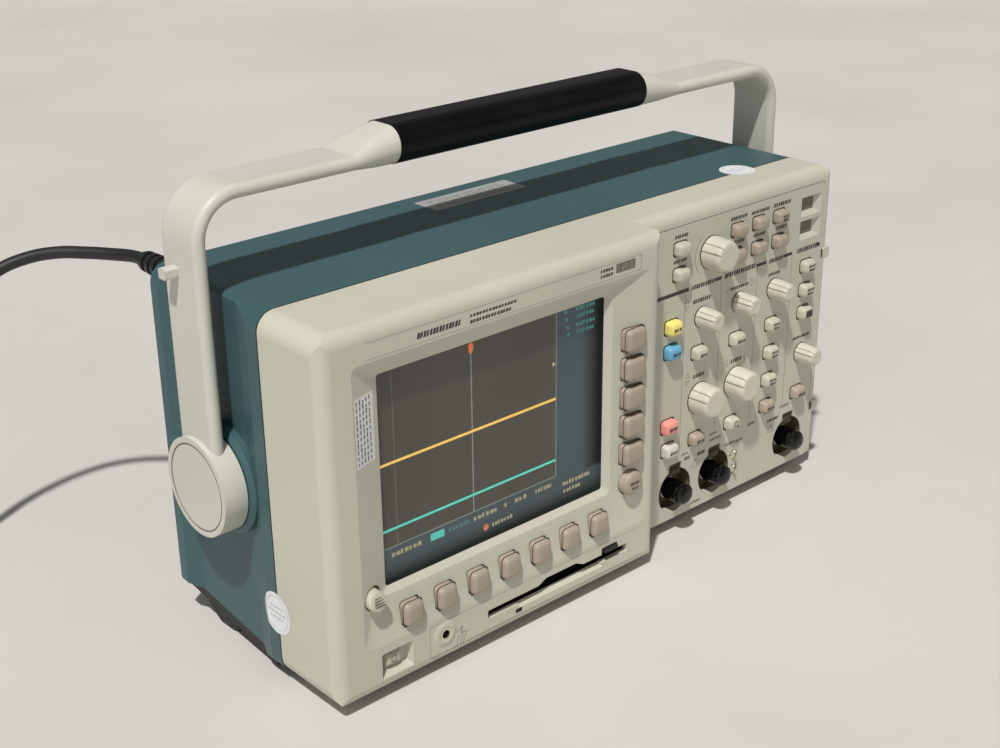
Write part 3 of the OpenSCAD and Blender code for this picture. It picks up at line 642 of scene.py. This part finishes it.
def make_knob(name, x, z, radius):
    """A tapered knob with three pairs of grooves along its side, a rolled rim and a nearly flat face."""
    count, face = KNOB_SIDES, PANEL_Y - KNOB_RISE
    profile = [(radius, face + 11.6), (radius - 0.02, face + 11.2), (radius - 0.35, face + 3.2),
               (radius - 0.5, face + 1.9), (radius - 0.8, face + 1.1), (radius - 1.25, face + 0.45),
               (radius - 1.8, face + 0.1), (radius - 2.4, face), (radius * 0.4, face + 0.15),
               (radius * 0.1, face + 0.18)]
    grooved = [k * count // 3 + i for k in range(3) for i in (3, 11)]
    shape = Shape()
    rings = []
    for row, (width, y) in enumerate(profile):
        ring = []
        for i in range(count):
            angle, r = 2 * pi * i / count, width
            if 0 < row < GROOVED_ROWS and i in grooved:
                r = width - GROOVE_DEPTH
            ring.append(at(x + r * cos(angle), y, z + r * sin(angle)))
        rings.append(ring)
    shape.rings(rings)
    # the grooves' faces take the third material, painted shade in the grooves
    for row in range(GROOVED_ROWS):
        for i in grooved:
            shape.slots[row * count + i] = 2
    shape.rings([circle_ring(x, y, z, STEM_R, 32) for y in (PANEL_Y - 0.5, STEM_END)], 1)
    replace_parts(shape.finish(name + "_cap", [M["knob"], M["steel"], M["groove"]], name + "_body", 30), name)


def make_knobs():
    for name, (x, z, radius) in KNOBS.items():
        make_knob(name, x, z, radius)


make_keys()
make_print_key()
make_knobs()


# ---- printing on the panel and the keys ----

INK = 0.03
PRINT_Y = PANEL_Y - INK
DASH_PITCH = 1.75


def legend(x, z, width, height=2.1, y=PRINT_Y, lean=0.25):
    """A run of plain slanted dashes of uneven width, centred on x, that stands for a printed word."""
    count = max(2, round(width / DASH_PITCH))
    pitch = width / count
    patches = []
    for i in range(count):
        fill = 0.62 + 0.24 * ((i * 7 + count) % 5) / 4
        start = x - width / 2 + i * pitch
        end, shift = start + pitch * fill, lean * height
        low, high = z - height / 2, z + height * (0.3 + 0.2 * ((i * 3 + count) % 3) / 2)
        patches.append([at(start, y, low), at(end, y, low),
                        at(end + shift, y, high), at(start + shift, y, high)])
    return patches


def stroke(points, width, y):
    """A polyline of x, z places as flat patches of one width."""
    patches = []
    for (ax, az), (bx, bz) in zip(points, points[1:]):
        along = Vector((bx - ax, 0, bz - az)).normalized()
        side = Vector((-along.z, 0, along.x)) * width / 2 * MM
        a, b = at(ax, y, az) - along * width / 2 * MM, at(bx, y, bz) + along * width / 2 * MM
        patches.append([a - side, b - side, b + side, a + side])
    return patches


def outline(points, width=0.3, y=PRINT_Y):
    return stroke(points + points[:1], width, y)


def arc_points(x, z, radius, start, end, count=20):
    angles = [radians(start + (end - start) * i / count) for i in range(count + 1)]
    return [(x + radius * cos(angle), z + radius * sin(angle)) for angle in angles]


# each legend is x, z and width, with its height where that isn't the usual one
PANEL_LEGENDS = (
    (232.4, 161, 10), (232, 148.1, 10), (276.3, 161, 13), (293.9, 160.9, 15.2),
    (311.7, 160.9, 14.4), (277.6, 148, 8), (293.8, 148.2, 10), (311.9, 148, 9),
    (250, 123, 14), (279.8, 122.8, 15), (308.5, 123, 10),
    (250, 81, 9), (280, 81, 9), (336.4, 79.3, 15),
    (243.4, 35.3, 4.5, 2.4), (254.7, 34.7, 6.4, 2.4), (315.2, 35, 10, 2.2),
    (250.1, 131.2, 17.5, 2.6), (279.6, 131.2, 25, 2.6), (309, 130.6, 11.5, 2.6), (336.6, 130.6, 19, 2.6),
)
SMALL_LEGENDS = (
    (241.6, 38.3, 5, 1.4), (266, 39.5, 10, 1.8), (278.4, 32, 8.4, 1.7), (286.4, 31.6, 6.6, 1.7),
    (296.3, 38.4, 6.4, 1.8), (311.5, 40.9, 9, 1.9), (325, 40.2, 8.4, 1.5), (251.3, 6.3, 8.6, 1.4),
    (264, 43, 6, 1.4),
)
# x0, x1, z0, z1
HEADER_BARS = (
    (203, 239.4, 130.1, 132.1), (259.4, 264.8, 130.2, 132), (293, 301, 129.9, 131.7),
    (315.5, 323, 129.8, 131.6), (344.6, 347.4, 129.6, 131.4),
)
# x, z0, z1
DIVIDERS = ((264.9, 42, 130), (293.8, 42, 130), (323.2, 42, 130), (236.9, 40, 129))
ARROWS = (
    ((238.2, 126.3), (236.4, 124), (240, 124)), ((238.4, 119.6), (236.6, 122), (240.2, 122)),
    ((268, 122.8), (271, 124.8), (271, 120.8)), ((291.8, 122.6), (288.8, 124.6), (288.8, 120.6)),
    ((241, 84.4), (239.2, 82), (242.8, 82)), ((241, 77.6), (239.2, 80), (242.8, 80)),
    ((270.6, 81), (273.2, 82.8), (273.2, 79.2)), ((289.6, 81), (287, 82.8), (287, 79.2)),
)
EMPTY_TRIANGLES = (
    ((249.8, 32.1), (247.3, 28), (252.4, 28)), ((313.8, 32), (311.3, 27.8), (316.4, 27.8)),
)
LINE_W = 0.3


def print_panel():
    quads("panel_words", [p for word in PANEL_LEGENDS for p in legend(*word)], M["print"])
    quads("panel_header_bars", [front_patch(*bar, PRINT_Y) for bar in HEADER_BARS], M["print"])
    quads("panel_small_words", [p for word in SMALL_LEGENDS for p in legend(*word)], M["grey_print"])
    lines = [front_patch(x - 0.16, x + 0.16, z0, z1, PRINT_Y) for x, z0, z1 in DIVIDERS]
    for arrow in ARROWS:
        lines += outline(arrow)
    for triangle in EMPTY_TRIANGLES:
        lines += outline(triangle, 0.35)
    knob_x, knob_z, _ = KNOBS["knob_general"]
    lines += stroke(arc_points(knob_x, knob_z, 12.6, 132, 228), LINE_W, PRINT_Y)
    quads("panel_lines", lines, M["line"])


KEY_MARKS = {
    "key_channel_1": (5.6, 2), "key_channel_2": (5.8, 2), "key_math": (6.2, 2), "key_reference": (5.4, 2),
    "key_off": (5.2, 2), "key_vertical_menu": (6, 2), "key_delay": (6, 2), "key_set_level": (5.2, 1.6),
    "key_force": (5.4, 1.6), "key_trigger_b": (5.6, 1.6), "key_trigger_menu": (6, 2),
    "key_run_stop": (5.2, 1.6), "key_single": (5.6, 1.6), "key_acquire": (6, 2), "key_menu_3": (4.4, 1.6),
}
TWO_ROWS = ("key_set_level", "key_force", "key_trigger_b", "key_run_stop", "key_single", "key_menu_3")


def mark_keys():
    y = FACE_Y - INK
    for name, (width, height) in KEY_MARKS.items():
        x, z, _ = KEYS[name]
        if name in TWO_ROWS:
            patches = legend(x - 0.3, z + 1.1, width, height, y)
            patches += legend(x - 0.5, z - 1, width - 0.8, height, y)
        else:
            patches = legend(x - 0.3, z, width, height, y)
        quads(name + "_mark", patches, M["print"], name + "_body")
    x, z, _ = KEYS["key_autoset"]
    square = [front_patch(x - 2.7, x + 2.6, z - 2, z + 2, y)]
    quads("key_autoset_mark", square, M["print"], "key_autoset_body")
    x, z, _ = KEYS["key_zoom"]
    lens = stroke(arc_points(x - 0.2, z + 0.3, 1.4, 0, 360), 0.4, y)
    lens += stroke([(x + 0.8, z - 0.8), (x + 2, z - 2)], 0.5, y)
    quads("key_zoom_mark", lens, M["print"], "key_zoom_body")
    x, z = POWER_AT
    y = POWER_FACE_Y - INK
    power = stroke(arc_points(x, z + 0.1, 1.5, 120, 420), 0.35, y)
    power += stroke([(x, z + 0.4), (x, z + 2.4)], 0.35, y)
    quads("key_power_mark", power, M["grey_print"], "key_power_body")
    x, z = MENU_OFF_AT
    y = BEZEL_KEY_Y - INK
    words = legend(x - 0.4, z + 1, 6.6, 1.7, y) + legend(x - 0.4, z - 1.6, 4.4, 1.7, y)
    quads("menu_off_mark", words, M["print"], "key_menu_off_body")


print_panel()
mark_keys()


# ---- marks on the casing ----

def bezel_marks():
    y = -INK
    # the outlined strips above and below the screen are painted shade of shallow grooves in the moulding
    upper = [(24, 159.1), (183.6, 159.1)] + arc_points(183.6, 160.7, 1.6, -90, 0, 5)
    upper += [(185.2, 165)] + arc_points(183.6, 165, 1.6, 0, 90, 5) + [(24, 166.6)]
    lower = [(190, 4.8)] + arc_points(53.4, 6.4, 1.6, 270, 180, 5)
    lower += arc_points(53.4, 19.8, 1.6, 180, 90, 5) + [(190, 21.4)]
    quads("casing_outlines", stroke(upper, 0.28, y) + stroke(lower, 0.28, y), M["relief"])
    words = legend(62, 162.4, 24, 2.6, y)
    for row, width in ((163.9, 27), (161, 24)):
        words += legend(79 + width / 2, row, width, 1.5, y)
    for row in (164.2, 161.6):
        words += legend(162, row, 8.4, 1.5, y)
    quads("model_legend", words, M["print"])
    quads("model_block", [front_patch(168.2, 181, 161, 165.6, y)], M["grey_print"])
    bars = [front_patch(169.6 + 2.7 * i, 170.2 + 2.7 * i + 0.9 * (i % 2), 161.7, 164.9, y - INK)
            for i in range(4)]
    quads("model_block_bars", bars, M["line"])
    # the ground symbol is painted shade of its moulded relief
    symbol = stroke([(67.2, 12.2), (70.6, 13.9), (70.4, 10.9), (74, 10.4)], 0.6, y)
    for i in range(3):
        symbol += stroke([(68.9 + 2 * i, 9.6), (67.2 + 2 * i, 5.6)], 0.6, y)
    quads("ground_symbol", symbol, M["relief"])
    quads("indicator_window", [front_patch(104.2, 108.2, 6.5, 8.7, y)], M["black_and_slot_shade"])


JACK_AT = (60.6, 14.5)
# radius, y
JACK_PROFILE = ((6.9, -0.01), (6, -0.3), (5.1, -0.62), (4.2, -0.7), (3.3, -0.66), (2.9, -0.3), (2.6, 1.6))
BNC_X, BNC_Z = (234.4, 265.8, 329.3), 19.3
WELL_R, JACK_R = 12.42, 6.4
WELL_MOUTH_Y, WELL_FLOOR_Y = 17.1, 25.5
BARE_DEPTH, BARE_TURN = 5.5, 105
WINDOW_Z = (154.6, 141.5)
TAB_Z = (32.6, 124.5)


def jack_rim():
    x, z = JACK_AT
    shape = Shape()
    shape.rings([circle_ring(x, y, z, radius) for radius, y in JACK_PROFILE], 0, False)
    shape.finish("ground_jack_rim", [M["beige"]])


def well_linings():
    """Painted shade: darker sheets inside the input wells, in their flags, on the floors of the two windows
    and in the slots beside the tabs, where these recesses lie in shade.
    """
    for i, x in enumerate(BNC_X):
        shape = Shape()
        mouth = []
        for k in range(48):
            angle = 2 * pi * k / 48
            # the lowest part of the wall near the mouth, where the light reaches, gets no painted shade and
            # stays the panel's own colour
            bare = max(0, cos(angle + radians(BARE_TURN))) ** 2
            mouth.append(at(x + WELL_R * cos(angle), WELL_MOUTH_Y + BARE_DEPTH * bare,
                            BNC_Z + WELL_R * sin(angle)))
        inner = [circle_ring(x, WELL_FLOOR_Y, BNC_Z, radius) for radius in (WELL_R, JACK_R)]
        shape.rings([mouth] + inner, 0, False)
        shape.finish(f"well_lining_{i + 1}", [M["well"]])
    # painted shade: dark patches in the slots above the input wells
    flags = [front_patch(x - 4.9, x + 4.9, 27.5, 34.9, PANEL_Y + 1.15) for x in BNC_X]
    quads("well_flags", flags, M["flag_shade"])
    # painted shade: darker patches on the floors of the two windows
    floors = [front_patch(328.8, 341, z - 2.5, z + 5.3, PANEL_Y + 1.95) for z in WINDOW_Z]
    quads("window_floors", floors, M["pocket_shade"])
    # painted shade: black strips in the slots beside the tabs
    quads("tab_slots", [front_patch(349, 350.3, z - 2.4, z + 2.4, PRINT_Y) for z in TAB_Z], M["black_and_slot_shade"])


PAPER_LIFT, MARK_LIFT = 0.12, 0.2
RECESS_START, RECESS_SLOPE = 50.5, 0.32


def sticker(name, centre, radius, place, fold=None):
    """A round paper sticker with a ring and faint dashes; place turns its own u, v into a point.

    It is cut into narrow columns, with one more edge at fold where it bends over an edge of the case."""
    columns = [radius * cos(pi * i / 28) for i in range(1, 28)] + ([] if fold is None else [fold])
    columns = sorted(columns, reverse=True)
    rim = radius * 0.9995
    strips = []
    for a, b in zip([rim] + columns, columns + [-rim]):
        high, low = sqrt(radius ** 2 - a ** 2), sqrt(radius ** 2 - b ** 2)
        strips.append([place(centre, u, v, PAPER_LIFT)
                       for u, v in ((a, -high), (b, -low), (b, low), (a, high))])
    quads(name, strips, M["paper"])
    marks = []
    for i in range(36):
        a, b = 2 * pi * i / 36, 2 * pi * (i + 0.8) / 36
        marks.append([place(centre, radius * k * cos(t), radius * k * sin(t), MARK_LIFT)
                      for t, k in ((a, 0.8), (b, 0.8), (b, 0.84), (a, 0.84))])
    for row, width in ((0.26, 0.5), (0, 0.66), (-0.26, 0.5)):
        for i in range(5):
            u = (-1 + 2 * (i + 0.15) / 5) * width
            end, top = u + width * 0.28, row + 0.09
            marks.append([place(centre, radius * p, radius * q, MARK_LIFT)
                          for p, q in ((u, row), (end, row), (end, top), (u, top))])
    quads(name + "_marks", marks, M["faint"])


def on_top(centre, u, v, lift):
    return at(centre[0] + u, centre[1] + v, CASE_H + lift)


def on_left(centre, u, v, lift):
    """On the left side, following the slope of the recess in the rear case."""
    y = centre[0] - u
    return at(max(0, y - RECESS_START) * RECESS_SLOPE - lift, y, centre[1] + v)


def top_patch(x0, x1, y0, y1, lift):
    z = CASE_H + lift
    return [at(x0, y0, z), at(x1, y0, z), at(x1, y1, z), at(x0, y1, z)]


def labels():
    sticker("top_sticker", (307.6, 45), 9.6, on_top)
    side_y = 43.4
    sticker("side_sticker", (side_y, 31.6), 10.4, on_left, side_y - RECESS_START)
    quads("top_label", [top_patch(145, 206, 100, 118, 0.08)], M["foil"])
    rows = []
    for k, y in enumerate((103, 105.6, 108.2, 110.8, 113.4)):
        for i in range(9):
            x = 150 + 5.6 * i
            rows.append(top_patch(x, x + 3.4 + (i + k) % 3 * 0.7, y, y + 1, PAPER_LIFT))
    quads("top_label_lines", rows, M["line"])
    # a strip label on the sloping left wall of the bezel, its lines running upward
    wall = [(16.9, 0.36), (25.3, 3.26), (29.4, 4.59)]
    low, high = 112, 143.4
    strips = [[at(xa, ya, low), at(xb, yb, low), at(xb, yb, high), at(xa, ya, high)]
              for (xa, ya), (xb, yb) in zip(wall, wall[1:])]
    quads("bezel_label", strips, M["paper"])
    lines = []
    for k in range(5):
        x = 17.9 + 2.2 * k
        y = 0.08 + (x - 16.2) * 0.345 if x < 25.3 else 3.22 + (x - 25.3) * 0.323
        end_x, end_y = x + 0.8, y + 0.27
        for i in range(11):
            z = 113.2 + 2.7 * i
            top = z + 1.4 + 0.3 * ((i * 5 + k) % 4)
            lines.append([at(x, y, z), at(end_x, end_y, z), at(end_x, end_y, top), at(x, y, top)])
    quads("bezel_label_lines", lines, M["grey_print"])


GAP_WIDE, GAP_NARROW, GAP_INNER = 1.2, 0.95, 0.06
SEAM_Y, SEAM_R = (41.85, 42.65), 9.05


def shadow_gaps():
    """The dark lines where the keys leave the panel, round the hub caps and between the two casings."""
    panel, bezel = Shape(), Shape()
    for x, z, (width, height) in KEYS.values():
        panel.rings([rounded_ring(x, PRINT_Y, z, width + grow, height + grow, KEY_CORNER)
                     for grow in (GAP_WIDE, GAP_INNER)], 0, False)
    for x, z, radius in KNOBS.values():
        panel.rings([circle_ring(x, PRINT_Y, z, edge) for edge in (radius + 0.3, STEM_R + 0.3)], 0, False)
    panel.finish("panel_gaps", [M["gap"]])
    for places, (width, height) in ((SOFTKEYS, SOFTKEY_SIZE), (SIDEKEYS, SIDEKEY_SIZE)):
        for x, z in places:
            bezel.rings([rounded_ring(x, -INK, z, width + grow, height + grow, SOFTKEY_CORNER)
                         for grow in (GAP_NARROW, GAP_INNER)], 0, False)
    bezel.finish("bezel_gaps", [M["gap"]])
    seam = Shape()
    seam.rings([rounded_ring(CASE_W / 2, y, CASE_H / 2, CASE_W + 0.1, CASE_H + 0.1, SEAM_R, 16)
                for y in SEAM_Y], 0, False)
    seam.finish("casing_seam", [M["gap"]])
    x0, x1, y0, y1, z0, z1 = local_box("hub_caps")
    middle_y, middle_z, radius = (y0 + y1) / 2, (z0 + z1) / 2, (y1 - y0) / 2
    # the rings round the hub caps are painted shade
    for name, x in (("hub_gap_left", x0 - 0.18), ("hub_gap_right", x1 + 0.18)):
        hub = Shape()
        hub.rings([[at(x, middle_y + edge * cos(pi * i / 48), middle_z + edge * sin(pi * i / 48))
                    for i in range(96)] for edge in (radius - 0.15, radius + 0.4)], 0, False)
        hub.finish(name, [M["rim"]], "handle")


bezel_marks()
shadow_gaps()
jack_rim()
well_linings()
labels()


# ---- display ----

SCREEN_Y = 8.15
SCREEN_LEFT, SCREEN_RIGHT, SCREEN_LOW, SCREEN_TOP = 31.5, 169, 46.5, 150
# painted shade and reflection of the bezel's dark walls, at the screen's rim
RIM_SHADE_REFLECTION = (0.006, 0.009, 0.008, 1)
# the colour sockets of a Mix node
MIX_A, MIX_B, MIX_RESULT = 6, 7, 2
GRATICULE = (34.3, 138, 64.5, 148.8)
DIVISIONS = (10, 8)


def screen_background():
    """The panel's lit ground: grey-brown in the graticule, blue-grey beside and under it, and darkened toward
    the right and lower rim by painted shade and reflection of the bezel's dark walls.
    """
    def ground(name, colour, edge):
        n = Nodes(name)
        drift = n.ramp(n.noise(18, 3), [(0.3, shade(colour, 0.9)), (0.7, shade(colour, 1.08))])
        separate = n.tree.nodes.new("ShaderNodeSeparateXYZ")
        n.link(n.coords, separate.inputs["Vector"])
        fade = n.tree.nodes.new("ShaderNodeMapRange")
        fade.interpolation_type = "SMOOTHSTEP"
        fade.inputs["From Min"].default_value = edge[1]
        fade.inputs["From Max"].default_value = edge[2]
        n.link(separate.outputs[edge[0]], fade.inputs["Value"])
        mix = n.tree.nodes.new("ShaderNodeMix")
        mix.data_type = "RGBA"
        n.link(fade.outputs["Result"], mix.inputs["Factor"])
        mix.inputs[MIX_A].default_value = RIM_SHADE_REFLECTION
        n.link(drift, mix.inputs[MIX_B])
        n.link(mix.outputs[MIX_RESULT], n.shader.inputs["Base Color"])
        n.link(mix.outputs[MIX_RESULT], n.shader.inputs["Emission Color"])
        n.shader.inputs["Emission Strength"].default_value = 0.35
        n.link(n.map_range(n.noise(300, 2), 0.5, 0.62), n.shader.inputs["Roughness"])
        return n.material

    x0, x1, z0, z1 = GRATICULE
    brown, blue = linear(84, 81, 74), linear(76, 90, 94)
    right = at(168, 0, 0).x
    under = at(0, 0, 48).z
    quads("screen_graticule", [front_patch(SCREEN_LEFT, x1, z0, SCREEN_TOP, SCREEN_Y)],
          ground("screen_ground", brown, ("Z", under - 0.2, under - 0.1)))
    quads("screen_margin_right", [front_patch(x1, SCREEN_RIGHT, z0 - 3, SCREEN_TOP, SCREEN_Y)],
          ground("screen_side", blue, ("X", right - 0.002, right - 0.016)))
    quads("screen_margin_under", [front_patch(SCREEN_LEFT, x1, SCREEN_LOW, z0, SCREEN_Y)],
          ground("screen_foot", blue, ("Z", under - 0.0015, under + 0.011)))
    # the lower right corner is a tenth darker than the other margins
    quads("screen_margin_corner", [front_patch(x1, SCREEN_RIGHT, SCREEN_LOW, z0 - 3, SCREEN_Y)],
          ground("screen_corner", shade(blue, 0.9), ("Z", under - 0.0015, under + 0.011)))


def screen_lines():
    x0, x1, z0, z1 = GRATICULE
    columns, rows = DIVISIONS
    dx, dz = (x1 - x0) / columns, (z1 - z0) / rows
    y = SCREEN_Y - 0.05
    dot = 0.17
    dots = []
    for i in range(1, columns):
        for k in range(rows * 5 + 1):
            x, z = x0 + i * dx, z0 + k * dz / 5
            dots.append(front_patch(x - dot, x + dot, z - dot, z + dot, y))
    for k in range(1, rows):
        for i in range(columns * 5 + 1):
            x, z = x0 + i * dx / 5, z0 + k * dz
            dots.append(front_patch(x - dot, x + dot, z - dot, z + dot, y))
    quads("screen_grid_dots", dots, glow("grid_dots", linear(112, 110, 100), 0.25))
    reference = [front_patch(x0 + 0.75 * dx - 0.2, x0 + 0.75 * dx + 0.2, z0 + k * 1.4, z0 + k * 1.4 + 0.7, y)
                 for k in range(60)]
    quads("screen_dotted_cursor", reference, glow("dotted_cursor", linear(150, 150, 138), 0.3))
    middle = (x0 + x1) / 2
    ticks = [front_patch(middle - 0.9, middle + 0.9, z0 + k * dz - 0.15, z0 + k * dz + 0.15, y)
             for k in range(1, rows)]
    edges = [front_patch(middle - 0.28, middle + 0.28, z0, z1 - 2, y),
             front_patch(x1 - 0.28, x1 + 0.1, z0, SCREEN_TOP, y),
             front_patch(x0 - 3, x1, z0 - 0.2, z0 + 0.2, y)]
    quads("screen_axes", edges + ticks, glow("screen_axes_lit", linear(158, 164, 158), 0.4))
    quads("screen_trace_1", [front_patch(31.6, x1 - 0.3, 104.3, 105.6, y - 0.02)],
          glow("trace_amber", linear(228, 184, 92), 0.9))
    quads("screen_trace_2", [front_patch(31.6, x1 - 0.3, 72.6, 73.8, y - 0.02)],
          glow("trace_teal", linear(88, 200, 178), 0.8))
    marker = [at(middle + 1.6 * sin(a) * (0.8 if cos(a) < 0 else 1), y - 0.03, z1 - 4 + 2.6 * cos(a))
              for a in [i * pi / 10 for i in range(20)]]
    piece("screen_trigger_marker", mesh_of("marker", marker, [tuple(range(20))]),
          glow("marker_orange", linear(214, 112, 66), 0.8), ROOT, False)
    arrow = [at(x1 - 2.4, y - 0.03, 121.4), at(x1 - 0.4, y - 0.03, 122.6), at(x1 - 2.4, y - 0.03, 123.8)]
    piece("screen_level_arrow", mesh_of("arrow", arrow, [(0, 1, 2)]),
          glow("arrow_lit", linear(205, 190, 150), 0.6), ROOT, False)


def dashes(x, z, width, height, count, y):
    """A run of plain dashes of uneven width, centred on x, that stands for a printed legend."""
    pitch = width / count
    patches = []
    for i in range(count):
        fill = 0.55 + 0.3 * ((i * 7 + count) % 5) / 4
        start = x - width / 2 + i * pitch
        tall = height * (0.82 + 0.18 * ((i * 3 + 1) % 4) / 3)
        patches.append(front_patch(start, start + pitch * fill, z - height / 2, z - height / 2 + tall, y))
    return patches


# x, z, width, height and count of dashes
PALE_READOUTS = (
    (47, 60.6, 17, 2.2, 7), (93.5, 60.8, 15, 2.2, 6), (106, 61, 2.2, 2.2, 1), (115.5, 61, 8, 2.2, 3),
    (130, 61, 11, 2.2, 6), (103.5, 53.8, 13, 2.0, 7), (152, 58.6, 19, 2.2, 9), (149, 54.6, 12, 2.0, 6),
)


def screen_readouts():
    y = SCREEN_Y - 0.06
    teal = []
    for i, z in enumerate((146.2, 142.6, 138.4, 134.8)):
        teal += dashes(144.5 + 0.6 * i, z, 3, 1.9, 1, y) + dashes(157, z, 13 - 1.2 * (i % 2), 1.9, 6, y)
    quads("screen_readout_top", teal, glow("readout_teal", linear(66, 138, 130), 0.5))
    pale = [patch for readout in PALE_READOUTS for patch in dashes(*readout, y)]
    quads("screen_readout_foot", pale, glow("readout_pale", linear(172, 166, 134), 0.45))
    quads("screen_readout_block", [front_patch(60.5, 68.5, 58.9, 62.6, y)],
          glow("readout_block", linear(84, 190, 176), 0.7))
    quads("screen_readout_second", dashes(77.5, 60.8, 13, 2.1, 6, y),
          glow("readout_dim", linear(92, 130, 126), 0.4))
    disc = [at(93.4 + 1.7 * cos(a), y, 53.8 + 1.7 * sin(a)) for a in [i * pi / 8 for i in range(16)]]
    piece("screen_foot_marker", mesh_of("disc", disc, [tuple(range(16))]),
          glow("foot_marker", linear(200, 120, 84), 0.6), ROOT, False)


screen_background()
screen_lines()
screen_readouts()
